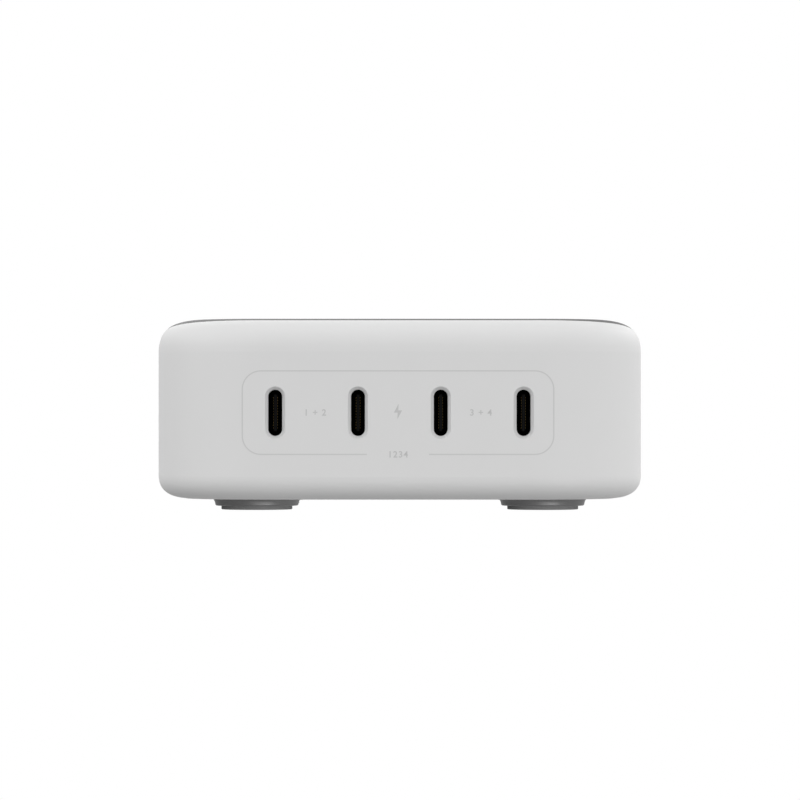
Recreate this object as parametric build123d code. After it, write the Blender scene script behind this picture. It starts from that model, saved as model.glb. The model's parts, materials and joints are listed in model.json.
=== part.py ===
from build123d import *
import os

# Multi-port desktop charger, in millimetres.
# The origin is on the table under the middle of the body, +Z is up and the ports face -Y.

# Body: plan size, height without the feet, plan corner
WIDTH = 89.5
DEPTH = 98.0
BODY_HEIGHT = 33.12
CORNER_RADIUS = 19.5

# Soft edge rounds: reach over the flat, reach along the wall, fullness of the curve
TOP_ROUND_REACH = 9.4
TOP_ROUND_DROP = 6.15
TOP_ROUND_FULLNESS = 0.73
BOTTOM_ROUND_REACH = 6.0
BOTTOM_ROUND_RISE = 4.25
BOTTOM_ROUND_FULLNESS = 0.66

# Housing walls
WALL = 2.6
TOP_WALL = 1.8
INNER_ROUND = 2.0

# Top plate, let into the housing
PLATE_SIDE_INSET = 0.45
PLATE_FRONT_INSET = 5.07
PLATE_CORNER_RADIUS = 19.05
PLATE_THICKNESS = 1.85
PLATE_GAP = 0.06

# Bottom cover and the bosses that carry the board
COVER_INSET = 5.0
COVER_THICKNESS = 2.0
COVER_GAP = 0.1
BOSS_DIAMETER = 11.0
BOSS_HEIGHT = 3.0

# Feet: places in from the sides, moulded cups that flare out to the body, rubber pads
FOOT_SIDE_INSET = 18.15
FOOT_END_INSET = 22.0
CUP_DIAMETER = 15.5
CUP_RIM_DIAMETER = 17.0
CUP_RIM_THICKNESS = 0.08
CUP_DROP = 1.42
CUP_EDGE_ROUND = 0.12
CUP_DRAFT = 0.1
CUP_FLARE = 0.45
SPIGOT_DIAMETER = 11.0
SPIGOT_HEIGHT = 0.6
SPIGOT_CLEARANCE = 0.1
PAD_DIAMETER = 13.2
PAD_THICKNESS = 1.5
PAD_DROP = 0.7
PAD_EDGE_ROUND = 0.15
PAD_CLEARANCE = 0.06

# Cover screws and the posts that they go into
POST_DIAMETER = 10.0
POST_TIP_DIAMETER = 7.0
POST_CLEARANCE = 0.2
SCREW_DIAMETER = 2.5
SCREW_LENGTH = 10.0
SCREW_HEAD_DIAMETER = 5.4
SCREW_HEAD_HEIGHT = 1.8
SCREW_CLAMP = 2.2
SCREW_CLEARANCE = 0.1
SCREW_SLOT_WIDTH = 0.7
SCREW_SLOT_LENGTH = 2.8
SCREW_SLOT_DEPTH = 0.9
PILOT_EXTRA_DEPTH = 2.0

# Ports: a row of upright sockets behind chamfered mouths
PORT_END_MARGIN = 22.16
PORT_SIDES = (1, 1, -1, -1)
PORT_HEIGHT = 15.88
MOUTH_LENGTH = 8.44
MOUTH_WIDTH = 2.54
MOUTH_CHAMFER = 0.57
MOUTH_CHAMFER_DEPTH = 0.85
MOUTH_SETBACK = 1.0
SHELL_LENGTH = 8.0
SHELL_METAL = 0.3
SHELL_CLEARANCE = 0.15
INSERT_BASE = 1.8
INSERT_CLEARANCE = 0.03
TONGUE_WIDTH = 6.7
TONGUE_THICKNESS = 0.7
TONGUE_SETBACK = 0.9
TONGUE_ROUND = 0.25

# Upright port boards
CARD_LENGTH = 24.0
CARD_HEIGHT = 18.5
CARD_THICKNESS = 1.2
CARD_GAP = 0.4
COIL_SIDE = 7.2
COIL_HEIGHT = 2.8
COIL_ROUND = 0.6
COIL_SETBACK = 10.0
COIL_RISE = 5.0
CARD_CHIP_SIDE = 4.0
CARD_CHIP_HEIGHT = 0.9
CARD_CHIP_GAP = 2.0
CARD_CHIP_RISE = 3.0

# Mains inlet
INLET_WIDTH = 27.4
INLET_HEIGHT = 19.6
INLET_DEPTH = 20.5
INLET_ROUND = 2.0
INLET_CLEARANCE = 0.1
INLET_RECESS = 0.3
EAR_MARGIN = 1.8
EAR_HEIGHT = 12.0
EAR_THICKNESS = 1.6
SOCKET_WIDTH = 24.2
SOCKET_HEIGHT = 16.4
SOCKET_DEPTH = 16.5
SOCKET_CUT = 4.6
SOCKET_ROUND = 0.8
PIN_WIDTH = 2.0
PIN_HEIGHT = 4.0
PIN_SPREAD = 7.0
PIN_OFFSET = 2.0
PIN_REACH = 13.0
PIN_TAIL = 2.0
PIN_TIP_CUT = 0.5
PIN_CLEARANCE = 0.02

# Main board and what stands on it
BOARD_THICKNESS = 1.6
BOARD_CLEARANCE = 1.0
SHEET_THICKNESS = 0.4
SHEET_CLEARANCE = 0.3
ROW_GAP = 1.5
ROW_EDGE = 1.0
STORAGE_DIAMETER = 12.5
STORAGE_CLEARANCE = 1.5
STORAGE_ROUND = 1.0
STORAGE_GROOVE = 0.6
STORAGE_GROOVE_RISE = 3.0
TRANSFORMER_WIDTH = 19.0
TRANSFORMER_DEPTH = 24.0
TRANSFORMER_LEG = 8.0
BOOST_WIDTH = 18.0
BOOST_DEPTH = 20.0
BOOST_HEIGHT = 15.5
BOOST_LEG = 7.0
CORE_PLATE = 3.2
CORE_POST = 2.4
CORE_OPENING_SHARE = 0.8
BOBBIN_WALL = 0.8
COIL_CLEARANCE = 0.1
WINDING_MARGIN = 0.6
CHOKE_OUTER = 13.0
CHOKE_INNER = 7.0
CHOKE_HEIGHT = 7.0
CHOKE_WIRE = 1.45
CHOKE_ROUND = 0.5
CHOKE_ARC = 130.0
CHOKE_CLEARANCE = 0.05
RECTIFIER_WIDTH = 17.0
RECTIFIER_HEIGHT = 14.0
RECTIFIER_THICKNESS = 3.6
SINK_WIDTH = 18.0
SINK_HEIGHT = 15.0
SINK_BASE = 1.5
SINK_FIN_LENGTH = 4.0
SINK_FIN_THICKNESS = 1.2
SINK_FIN_COUNT = 5
FILTER_WIDTH = 18.0
FILTER_DEPTH = 9.0
FILTER_HEIGHT = 16.0
FILTER_ROUND = 0.6
FUSE_WIDTH = 4.0
FUSE_DEPTH = 8.5
FUSE_HEIGHT = 8.0
DISC_DIAMETER = 10.0
DISC_THICKNESS = 4.0
DISC_RISE = 2.0
LEAD_DIAMETER = 0.8
LEAD_SPACING = 5.0
OUTPUT_DIAMETER = 6.3
OUTPUT_HEIGHT = 14.0
OUTPUT_ROUND = 0.8
OUTPUT_SETBACK = 6.9
OUTPUT_GAP = 1.0
SWITCH_WIDTH = 5.0
SWITCH_DEPTH = 6.0
SWITCH_HEIGHT = 1.0
SWITCH_EDGE = 1.7
SWITCH_SETBACK = 4.5

# Heat spreader under the top of the housing
SPREADER_THICKNESS = 1.0
SPREADER_CLEARANCE = 0.2
SPREADER_LIP = 1.2
SPREADER_BEND = 1.4
THERMAL_PAD_THICKNESS = 1.6

# Levels and lines that follow from the sizes above
BODY_BOTTOM = CUP_DROP + PAD_DROP
BODY_TOP = BODY_BOTTOM + BODY_HEIGHT
COVER_TOP = BODY_BOTTOM + COVER_THICKNESS
BOARD_BOTTOM = COVER_TOP + BOSS_HEIGHT
BOARD_TOP = BOARD_BOTTOM + BOARD_THICKNESS
CAVITY_TOP = BODY_TOP - PLATE_THICKNESS - TOP_WALL
SPREADER_BOTTOM = CAVITY_TOP - SPREADER_THICKNESS
FRONT = -DEPTH / 2
BACK = DEPTH / 2
FRONT_INNER = FRONT + WALL
BACK_INNER = BACK - WALL
FOOT_X = WIDTH / 2 - FOOT_SIDE_INSET
FOOT_Y = DEPTH / 2 - FOOT_END_INSET
BOARD_WIDTH = WIDTH - 2 * (COVER_INSET + BOARD_CLEARANCE)
PORT_Z = BODY_BOTTOM + PORT_HEIGHT
PORT_PITCH = (WIDTH - 2 * PORT_END_MARGIN) / (len(PORT_SIDES) - 1)
SHELL_FRONT = FRONT + MOUTH_SETBACK
SHELL_BACK = SHELL_FRONT + SHELL_LENGTH
SHELL_WIDTH = MOUTH_WIDTH + 2 * SHELL_METAL
CARD_FRONT = FRONT_INNER + CARD_GAP
CARD_BACK = CARD_FRONT + CARD_LENGTH
ROW_FRONT = CARD_BACK + ROW_GAP
INLET_Z = BOARD_TOP + INLET_HEIGHT / 2
INLET_BACK = BACK - INLET_RECESS
INLET_INNER_END = INLET_BACK - INLET_DEPTH
REAR_FRONT = FOOT_Y + POST_DIAMETER / 2 + ROW_GAP
SCREW_SEAT = BOARD_BOTTOM - SCREW_CLAMP

CORNERS = {
    "front_left": (-FOOT_X, -FOOT_Y),
    "front_right": (FOOT_X, -FOOT_Y),
    "rear_left": (-FOOT_X, FOOT_Y),
    "rear_right": (FOOT_X, FOOT_Y),
}
PORT_X = [(i - (len(PORT_SIDES) - 1) / 2) * PORT_PITCH for i in range(len(PORT_SIDES))]
PORTS = list(zip(PORT_X, PORT_SIDES))
STANDING = (Align.CENTER, Align.CENTER, Align.MIN)


# Plain helpers

def block(width, depth, height, x, y, bottom):
    return Pos(x, y, bottom) * Box(width, depth, height, align=STANDING)


def drum(diameter, height, x, y, bottom):
    return Pos(x, y, bottom) * Cylinder(diameter / 2, height, align=STANDING)


def slab(width, depth, radius, bottom, top):
    """A flat piece with rounded corners in plan."""
    outline = Pos(0, 0, bottom) * RectangleRounded(width, depth, radius)
    return extrude(outline, top - bottom)


def inset_slab(inset, bottom, top):
    """A flat piece that keeps the same distance inside the body's outline all round."""
    return slab(WIDTH - 2 * inset, DEPTH - 2 * inset, CORNER_RADIUS - inset, bottom, top)


def upright_slot(length, width, x, front, back):
    """A full-round slot standing upright, run from front to back."""
    outline = Plane((x, front, PORT_Z), x_dir=(0, 0, 1), z_dir=(0, 1, 0)) * SlotOverall(length, width)
    return extrude(outline, back - front, dir=(0, 1, 0))


def facing_back(x, y, z):
    """A drawing plane seen from behind the object, with its own +Y upwards."""
    return Plane((x, y, z), x_dir=(-1, 0, 0), z_dir=(0, 1, 0))


def spread_centres(widths, span):
    """Centres of pieces spread over a centred span, with the same gap between all of them."""
    gap = (span - sum(widths)) / (len(widths) - 1)
    start = -span / 2
    centres = []
    for width in widths:
        centres.append(start + width / 2)
        start += width + gap
    return centres


# Body: one soft section, carried along the sides and turned round the corners

def soft_section():
    reach = CORNER_RADIUS
    bottom_flat = reach - BOTTOM_ROUND_REACH
    top_flat = reach - TOP_ROUND_REACH
    shoulder = BODY_HEIGHT - TOP_ROUND_DROP
    lower = Bezier(
        (bottom_flat, 0),
        (bottom_flat + BOTTOM_ROUND_REACH * BOTTOM_ROUND_FULLNESS, 0),
        (reach, BOTTOM_ROUND_RISE * (1 - BOTTOM_ROUND_FULLNESS)),
        (reach, BOTTOM_ROUND_RISE),
    )
    upper = Bezier(
        (reach, shoulder),
        (reach, shoulder + TOP_ROUND_DROP * TOP_ROUND_FULLNESS),
        (top_flat + TOP_ROUND_REACH * TOP_ROUND_FULLNESS, BODY_HEIGHT),
        (top_flat, BODY_HEIGHT),
    )
    straight = [
        Line((0, 0), (bottom_flat, 0)),
        Line((reach, BOTTOM_ROUND_RISE), (reach, shoulder)),
        Line((top_flat, BODY_HEIGHT), (0, BODY_HEIGHT)),
        Line((0, BODY_HEIGHT), (0, 0)),
    ]
    return Plane.XZ * make_face([lower, upper] + straight)


def soft_body():
    section = soft_section()
    half_x = WIDTH / 2 - CORNER_RADIUS
    half_y = DEPTH / 2 - CORNER_RADIUS
    side = Pos(half_x, 0, 0) * extrude(section, half_y, both=True)
    end = Rot(0, 0, 90) * (Pos(half_y, 0, 0) * extrude(section, half_x, both=True))
    corner = Pos(half_x, half_y, 0) * revolve(section, Axis.Z, 90)
    other_corner = mirror(corner, Plane.YZ)
    half = side + end + corner + other_corner
    core = Box(2 * half_x, 2 * half_y, BODY_HEIGHT, align=STANDING)
    body = core + half + Rot(0, 0, 180) * half
    return Pos(0, 0, BODY_BOTTOM) * body


def plate_recess(gap):
    width = WIDTH - 2 * (PLATE_SIDE_INSET + gap)
    depth = DEPTH - 2 * (PLATE_FRONT_INSET + gap)
    return slab(width, depth, PLATE_CORNER_RADIUS - gap, BODY_TOP - PLATE_THICKNESS, BODY_TOP)


def screw_post(x, y):
    post = drum(POST_DIAMETER, CAVITY_TOP - BOARD_TOP, x, y, BOARD_TOP)
    post += drum(POST_TIP_DIAMETER, BOARD_TOP - BOARD_BOTTOM, x, y, BOARD_BOTTOM)
    return post


def screw_pilot(x, y):
    depth = SCREW_LENGTH - SCREW_CLAMP + PILOT_EXTRA_DEPTH
    return drum(SCREW_DIAMETER + 2 * SCREW_CLEARANCE, depth, x, y, BOARD_BOTTOM)


def port_mouth(x):
    """The way in through the front wall: chamfered mouth, then a seat for the socket."""
    plane = Plane((x, FRONT, PORT_Z), x_dir=(0, 0, 1), z_dir=(0, 1, 0))
    wide = SlotOverall(MOUTH_LENGTH + 2 * MOUTH_CHAMFER, MOUTH_WIDTH + 2 * MOUTH_CHAMFER)
    narrow = SlotOverall(MOUTH_LENGTH, MOUTH_WIDTH)
    chamfer_cut = loft([plane * wide, plane.offset(MOUTH_CHAMFER_DEPTH) * narrow], ruled=True)
    mouth = upright_slot(MOUTH_LENGTH, MOUTH_WIDTH, x, FRONT, FRONT_INNER)
    seat_size = 2 * (SHELL_METAL + SHELL_CLEARANCE)
    seat = upright_slot(MOUTH_LENGTH + seat_size, MOUTH_WIDTH + seat_size, x, SHELL_FRONT, FRONT_INNER)
    return chamfer_cut + mouth + seat


def inlet_block(width, height, front, back):
    outline = RectangleRounded(width, height, INLET_ROUND)
    return extrude(facing_back(0, front, INLET_Z) * outline, back - front)


def inlet_way(front, back):
    """The room that the inlet needs in the back wall."""
    room = 2 * INLET_CLEARANCE
    return inlet_block(INLET_WIDTH + room, INLET_HEIGHT + room, front, back)


def make_housing(body):
    cavity = inset_slab(WALL, COVER_TOP, CAVITY_TOP)
    cavity = fillet(cavity.faces().sort_by(Axis.Z)[-1].edges(), INNER_ROUND)
    opening = inset_slab(COVER_INSET, BODY_BOTTOM, COVER_TOP)
    housing = body - plate_recess(0) - cavity - opening
    for x, y in CORNERS.values():
        housing += screw_post(x, y)
        housing -= screw_pilot(x, y)
    for x in PORT_X:
        housing -= port_mouth(x)
    housing -= inlet_way(INLET_INNER_END, BACK)
    return housing


def make_top_plate(body):
    return body & plate_recess(PLATE_GAP)


# Bottom cover, screws and feet

def make_bottom_cover():
    cover = inset_slab(COVER_INSET + COVER_GAP, BODY_BOTTOM, COVER_TOP)
    for x, y in CORNERS.values():
        cover += drum(BOSS_DIAMETER, BOSS_HEIGHT, x, y, COVER_TOP)
    for x, y in CORNERS.values():
        pocket = SPIGOT_DIAMETER + 2 * SPIGOT_CLEARANCE
        head = SCREW_HEAD_DIAMETER + 2 * SCREW_CLEARANCE
        shank = SCREW_DIAMETER + 2 * SCREW_CLEARANCE
        cover -= drum(pocket, SPIGOT_HEIGHT + SPIGOT_CLEARANCE, x, y, BODY_BOTTOM)
        cover -= drum(head, SCREW_SEAT - BODY_BOTTOM, x, y, BODY_BOTTOM)
        cover -= drum(shank, SCREW_CLAMP, x, y, SCREW_SEAT)
    return cover


def make_cover_screw(x, y):
    bottom = SCREW_SEAT - SCREW_HEAD_HEIGHT
    head = drum(SCREW_HEAD_DIAMETER, SCREW_HEAD_HEIGHT, x, y, bottom)
    shank = drum(SCREW_DIAMETER, SCREW_LENGTH, x, y, SCREW_SEAT)
    slot = block(SCREW_SLOT_LENGTH, SCREW_SLOT_WIDTH, SCREW_SLOT_DEPTH, x, y, bottom)
    cross = block(SCREW_SLOT_WIDTH, SCREW_SLOT_LENGTH, SCREW_SLOT_DEPTH, x, y, bottom)
    return head + shank - slot - cross


def foot_cup_section():
    """Half of a cup's section: a rounded lower edge, then a side that flares out to a thin rim."""
    side = CUP_DIAMETER / 2
    rim = CUP_RIM_DIAMETER / 2
    edge_top = PAD_DROP + CUP_EDGE_ROUND
    rim_bottom = BODY_BOTTOM - CUP_RIM_THICKNESS
    edge = RadiusArc((side - CUP_EDGE_ROUND, PAD_DROP), (side, edge_top), -CUP_EDGE_ROUND)
    flare = Bezier(
        (side, edge_top),
        (side + CUP_DRAFT, (edge_top + rim_bottom) / 2),
        (rim - CUP_FLARE, rim_bottom),
        (rim, rim_bottom),
    )
    straight = [
        Line((0, PAD_DROP), (side - CUP_EDGE_ROUND, PAD_DROP)),
        Line((rim, rim_bottom), (rim, BODY_BOTTOM)),
        Line((rim, BODY_BOTTOM), (0, BODY_BOTTOM)),
        Line((0, BODY_BOTTOM), (0, PAD_DROP)),
    ]
    return Plane.XZ * make_face([edge, flare] + straight)


def make_foot_cup(x, y):
    cup = Pos(x, y, 0) * revolve(foot_cup_section(), Axis.Z)
    cup += drum(SPIGOT_DIAMETER, SPIGOT_HEIGHT, x, y, BODY_BOTTOM)
    cup -= drum(PAD_DIAMETER + 2 * PAD_CLEARANCE, PAD_THICKNESS - PAD_DROP, x, y, PAD_DROP)
    return cup


def make_foot_pad(x, y):
    pad = drum(PAD_DIAMETER, PAD_THICKNESS, x, y, 0)
    return fillet(pad.edges().sort_by(Axis.Z)[0], PAD_EDGE_ROUND)


# Ports

def make_port_shell(x):
    outer = MOUTH_LENGTH + 2 * SHELL_METAL
    shell = upright_slot(outer, SHELL_WIDTH, x, SHELL_FRONT, SHELL_BACK)
    return shell - upright_slot(MOUTH_LENGTH, MOUTH_WIDTH, x, SHELL_FRONT, SHELL_BACK)


def make_port_insert(x):
    base_front = SHELL_BACK - INSERT_BASE
    length = MOUTH_LENGTH - 2 * INSERT_CLEARANCE
    width = MOUTH_WIDTH - 2 * INSERT_CLEARANCE
    base = upright_slot(length, width, x, base_front, SHELL_BACK)
    tongue_front = SHELL_FRONT + TONGUE_SETBACK
    tongue = Box(TONGUE_THICKNESS, base_front - tongue_front, TONGUE_WIDTH)
    tongue = Pos(x, (tongue_front + base_front) / 2, PORT_Z) * tongue
    tongue = fillet(tongue.faces().sort_by(Axis.Y)[0].edges().filter_by(Axis.Z), TONGUE_ROUND)
    return base + tongue


def card_face(x, side):
    """The face of an upright board that its socket is soldered to."""
    return x + side * SHELL_WIDTH / 2


def chip_face(x, side):
    """The outer face of the chip on the socket's side of an upright board."""
    return card_face(x, side) - side * CARD_CHIP_HEIGHT


def coil_face(x, side):
    """The outer face of the coil on the far side of an upright board."""
    return card_face(x, side) + side * (CARD_THICKNESS + COIL_HEIGHT)


def make_port_board(x, side):
    centre = card_face(x, side) + side * CARD_THICKNESS / 2
    middle = (CARD_FRONT + CARD_BACK) / 2
    return block(CARD_THICKNESS, CARD_LENGTH, CARD_HEIGHT, centre, middle, BOARD_TOP)


def make_port_coil(x, side):
    centre = coil_face(x, side) - side * COIL_HEIGHT / 2
    middle = CARD_FRONT + COIL_SETBACK + COIL_SIDE / 2
    coil = block(COIL_HEIGHT, COIL_SIDE, COIL_SIDE, centre, middle, BOARD_TOP + COIL_RISE)
    return fillet(coil.edges().filter_by(Axis.X), COIL_ROUND)


def make_port_chip(x, side):
    centre = chip_face(x, side) + side * CARD_CHIP_HEIGHT / 2
    middle = SHELL_BACK + CARD_CHIP_GAP + CARD_CHIP_SIDE / 2
    bottom = BOARD_TOP + CARD_CHIP_RISE
    return block(CARD_CHIP_HEIGHT, CARD_CHIP_SIDE, CARD_CHIP_SIDE, centre, middle, bottom)


# Mains inlet

def socket_outline():
    """The inlet's hollow: a rectangle with its two upper corners cut off."""
    half = SOCKET_WIDTH / 2
    low = -SOCKET_HEIGHT / 2
    high = SOCKET_HEIGHT / 2
    corners = [
        (-half, low),
        (half, low),
        (half, high - SOCKET_CUT),
        (half - SOCKET_CUT, high),
        (-half + SOCKET_CUT, high),
        (-half, high - SOCKET_CUT),
    ]
    outline = make_face(Polyline(*corners, close=True))
    return fillet(outline.vertices(), SOCKET_ROUND)


def pin_places():
    return [(-PIN_SPREAD, -PIN_OFFSET), (0, PIN_OFFSET), (PIN_SPREAD, -PIN_OFFSET)]


def pin_bar(x, z, front, back, clearance):
    bar = Box(PIN_WIDTH + 2 * clearance, back - front, PIN_HEIGHT + 2 * clearance)
    return Pos(x, (front + back) / 2, INLET_Z + z) * bar


def make_inlet_body():
    inlet = inlet_block(INLET_WIDTH, INLET_HEIGHT, INLET_INNER_END, INLET_BACK)
    inlet += inlet_block(INLET_WIDTH + 2 * EAR_MARGIN, EAR_HEIGHT, BACK_INNER - EAR_THICKNESS, BACK_INNER)
    socket_floor = INLET_BACK - SOCKET_DEPTH
    inlet -= extrude(facing_back(0, socket_floor, INLET_Z) * socket_outline(), SOCKET_DEPTH)
    for x, z in pin_places():
        inlet -= pin_bar(x, z, INLET_INNER_END, socket_floor, PIN_CLEARANCE)
    return inlet


def make_inlet_pin(x, z):
    tip = INLET_BACK - SOCKET_DEPTH + PIN_REACH
    pin = pin_bar(x, z, INLET_INNER_END - PIN_TAIL, tip, 0)
    return chamfer(pin.faces().sort_by(Axis.Y)[-1].edges(), PIN_TIP_CUT)


# Boards and sheets

def make_main_board():
    board = inset_slab(COVER_INSET + BOARD_CLEARANCE, BOARD_BOTTOM, BOARD_TOP)
    for x, y in CORNERS.values():
        board -= drum(POST_TIP_DIAMETER + 2 * POST_CLEARANCE, BOARD_THICKNESS, x, y, BOARD_BOTTOM)
    return board


def make_insulation_sheet():
    sheet = inset_slab(COVER_INSET + BOARD_CLEARANCE, COVER_TOP, COVER_TOP + SHEET_THICKNESS)
    for x, y in CORNERS.values():
        sheet -= drum(BOSS_DIAMETER + 2 * SHEET_CLEARANCE, SHEET_THICKNESS, x, y, COVER_TOP)
    return sheet


def make_heat_spreader():
    width = WIDTH - 2 * (WALL + INNER_ROUND + SPREADER_CLEARANCE)
    front = ROW_FRONT
    back = FOOT_Y - POST_DIAMETER / 2 - ROW_GAP
    tray = block(width, back - front, SPREADER_THICKNESS + SPREADER_LIP, 0, (front + back) / 2,
                 SPREADER_BOTTOM - SPREADER_LIP)
    bends = tray.faces().sort_by(Axis.Z)[-1].edges().filter_by(Axis.Y)
    tray = fillet(bends, SPREADER_BEND)
    inner_width = width - 2 * SPREADER_THICKNESS
    inside = block(inner_width, back - front, SPREADER_LIP, 0, (front + back) / 2,
                   SPREADER_BOTTOM - SPREADER_LIP)
    inner_bends = inside.faces().sort_by(Axis.Z)[-1].edges().filter_by(Axis.Y)
    return tray - fillet(inner_bends, SPREADER_BEND - SPREADER_THICKNESS)


# The middle row: storage capacitors, transformer and boost coil

ROW_WIDTHS = [STORAGE_DIAMETER, STORAGE_DIAMETER, TRANSFORMER_WIDTH, BOOST_WIDTH]
ROW_CENTRES = spread_centres(ROW_WIDTHS, BOARD_WIDTH - 2 * ROW_EDGE)
STORAGE_1_X, STORAGE_2_X, TRANSFORMER_X, BOOST_X = ROW_CENTRES
STORAGE_Y = ROW_FRONT + STORAGE_DIAMETER / 2
TRANSFORMER_Y = ROW_FRONT + TRANSFORMER_DEPTH / 2
BOOST_Y = ROW_FRONT + BOOST_DEPTH / 2
TRANSFORMER_HEIGHT = SPREADER_BOTTOM - THERMAL_PAD_THICKNESS - BOARD_TOP
CHOKE_X = STORAGE_1_X + CHOKE_WIRE / 2
CHOKE_Y = ROW_FRONT + STORAGE_DIAMETER + ROW_GAP + CHOKE_OUTER / 2 + CHOKE_WIRE
RECTIFIER_Y = ROW_FRONT + BOOST_DEPTH + ROW_GAP + RECTIFIER_THICKNESS / 2
SINK_FRONT = RECTIFIER_Y + RECTIFIER_THICKNESS / 2


def make_storage_capacitor(x):
    height = SPREADER_BOTTOM - STORAGE_CLEARANCE - BOARD_TOP
    can = drum(STORAGE_DIAMETER, height, x, STORAGE_Y, BOARD_TOP)
    can = fillet(can.edges().sort_by(Axis.Z)[-1], STORAGE_ROUND)
    ring = Pos(x, STORAGE_Y, BOARD_TOP + STORAGE_GROOVE_RISE) * Torus(STORAGE_DIAMETER / 2, STORAGE_GROOVE)
    return can - ring


def core_bore(width):
    """The room for the coil between a core's side posts."""
    return width - 2 * CORE_POST


def make_core(width, depth, height, leg, x, y):
    """A closed ferrite core: two plates, two side posts hollowed to the coil, a round middle leg."""
    window = height - 2 * CORE_PLATE
    bore = core_bore(width)
    core = block(width, depth, height, x, y, BOARD_TOP)
    core -= drum(bore, window, x, y, BOARD_TOP + CORE_PLATE)
    core -= block(bore * CORE_OPENING_SHARE, depth, window, x, y, BOARD_TOP + CORE_PLATE)
    return core + drum(leg, window, x, y, BOARD_TOP + CORE_PLATE)


def spool_height(height):
    return height - 2 * CORE_PLATE - COIL_CLEARANCE


def make_bobbin(width, height, leg, x, y):
    bottom = BOARD_TOP + CORE_PLATE
    flange = core_bore(width) - 2 * COIL_CLEARANCE
    bore = leg + 2 * COIL_CLEARANCE
    tube = bore + 2 * BOBBIN_WALL
    tall = spool_height(height)
    bobbin = drum(tube, tall, x, y, bottom)
    bobbin += drum(flange, BOBBIN_WALL, x, y, bottom)
    bobbin += drum(flange, BOBBIN_WALL, x, y, bottom + tall - BOBBIN_WALL)
    return bobbin - drum(bore, tall, x, y, bottom)


def make_winding(width, height, inner, x, y, bottom_gap):
    """A wound coil: a plain sleeve round a leg or a bobbin's tube."""
    bottom = BOARD_TOP + CORE_PLATE + bottom_gap
    tall = spool_height(height) - 2 * bottom_gap
    outer = core_bore(width) - 2 * WINDING_MARGIN
    sleeve = drum(outer, tall, x, y, bottom)
    return sleeve - drum(inner, tall, x, y, bottom)


def make_transformer_winding():
    tube = TRANSFORMER_LEG + 2 * COIL_CLEARANCE + 2 * BOBBIN_WALL
    return make_winding(TRANSFORMER_WIDTH, TRANSFORMER_HEIGHT, tube + 2 * COIL_CLEARANCE,
                        TRANSFORMER_X, TRANSFORMER_Y, BOBBIN_WALL)


def make_boost_winding():
    return make_winding(BOOST_WIDTH, BOOST_HEIGHT, BOOST_LEG + 2 * COIL_CLEARANCE, BOOST_X, BOOST_Y, 0)


def make_thermal_pad():
    bottom = BOARD_TOP + TRANSFORMER_HEIGHT
    return block(TRANSFORMER_WIDTH, TRANSFORMER_DEPTH, THERMAL_PAD_THICKNESS,
                 TRANSFORMER_X, TRANSFORMER_Y, bottom)


# Mains filter and rectifier

def ring(outer, inner, height, bottom):
    return drum(outer, height, 0, 0, bottom) - drum(inner, height, 0, 0, bottom)


def make_choke_core():
    core = ring(CHOKE_OUTER, CHOKE_INNER, CHOKE_HEIGHT, BOARD_TOP + CHOKE_WIRE)
    core = fillet(core.edges().filter_by(GeomType.CIRCLE), CHOKE_ROUND)
    return Pos(CHOKE_X, CHOKE_Y, 0) * core


def make_choke_windings():
    """Two half windings, each wrapped right round its own side of the ring."""
    band = (CHOKE_OUTER - CHOKE_INNER) / 2
    section = Rectangle(band + 2 * CHOKE_WIRE, CHOKE_HEIGHT + 2 * CHOKE_WIRE)
    section = fillet(section.vertices(), CHOKE_WIRE)
    section -= Rectangle(band + 2 * CHOKE_CLEARANCE, CHOKE_HEIGHT + 2 * CHOKE_CLEARANCE)
    radius = (CHOKE_OUTER + CHOKE_INNER) / 4
    half = revolve(Plane.XZ * (Pos(radius, 0) * section), Axis.Z, CHOKE_ARC)
    place = Pos(CHOKE_X, CHOKE_Y, BOARD_TOP + CHOKE_WIRE + CHOKE_HEIGHT / 2)
    return [place * Rot(0, 0, turn - CHOKE_ARC / 2) * half for turn in (0, 180)]


def make_bridge_rectifier():
    return block(RECTIFIER_WIDTH, RECTIFIER_THICKNESS, RECTIFIER_HEIGHT, BOOST_X, RECTIFIER_Y, BOARD_TOP)


def make_heat_sink():
    sink = block(SINK_WIDTH, SINK_BASE, SINK_HEIGHT, BOOST_X, SINK_FRONT + SINK_BASE / 2, BOARD_TOP)
    fin_y = SINK_FRONT + SINK_BASE + SINK_FIN_LENGTH / 2
    step = (SINK_WIDTH - SINK_FIN_THICKNESS) / (SINK_FIN_COUNT - 1)
    for i in range(SINK_FIN_COUNT):
        fin_x = BOOST_X + (i - (SINK_FIN_COUNT - 1) / 2) * step
        sink += block(SINK_FIN_THICKNESS, SINK_FIN_LENGTH, SINK_HEIGHT, fin_x, fin_y, BOARD_TOP)
    return sink


def make_filter_capacitor():
    y = INLET_INNER_END - PIN_TAIL - ROW_GAP - FILTER_DEPTH / 2
    box = block(FILTER_WIDTH, FILTER_DEPTH, FILTER_HEIGHT, 0, y, BOARD_TOP)
    return fillet(box.edges().filter_by(Axis.Z) + box.faces().sort_by(Axis.Z)[-1].edges(), FILTER_ROUND)


def make_fuse():
    x = -INLET_WIDTH / 2 - ROW_GAP - FUSE_WIDTH / 2
    fuse = block(FUSE_WIDTH, FUSE_DEPTH, FUSE_HEIGHT, x, REAR_FRONT + FUSE_DEPTH / 2, BOARD_TOP)
    return fillet(fuse.edges().filter_by(Axis.Z), FILTER_ROUND)


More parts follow.
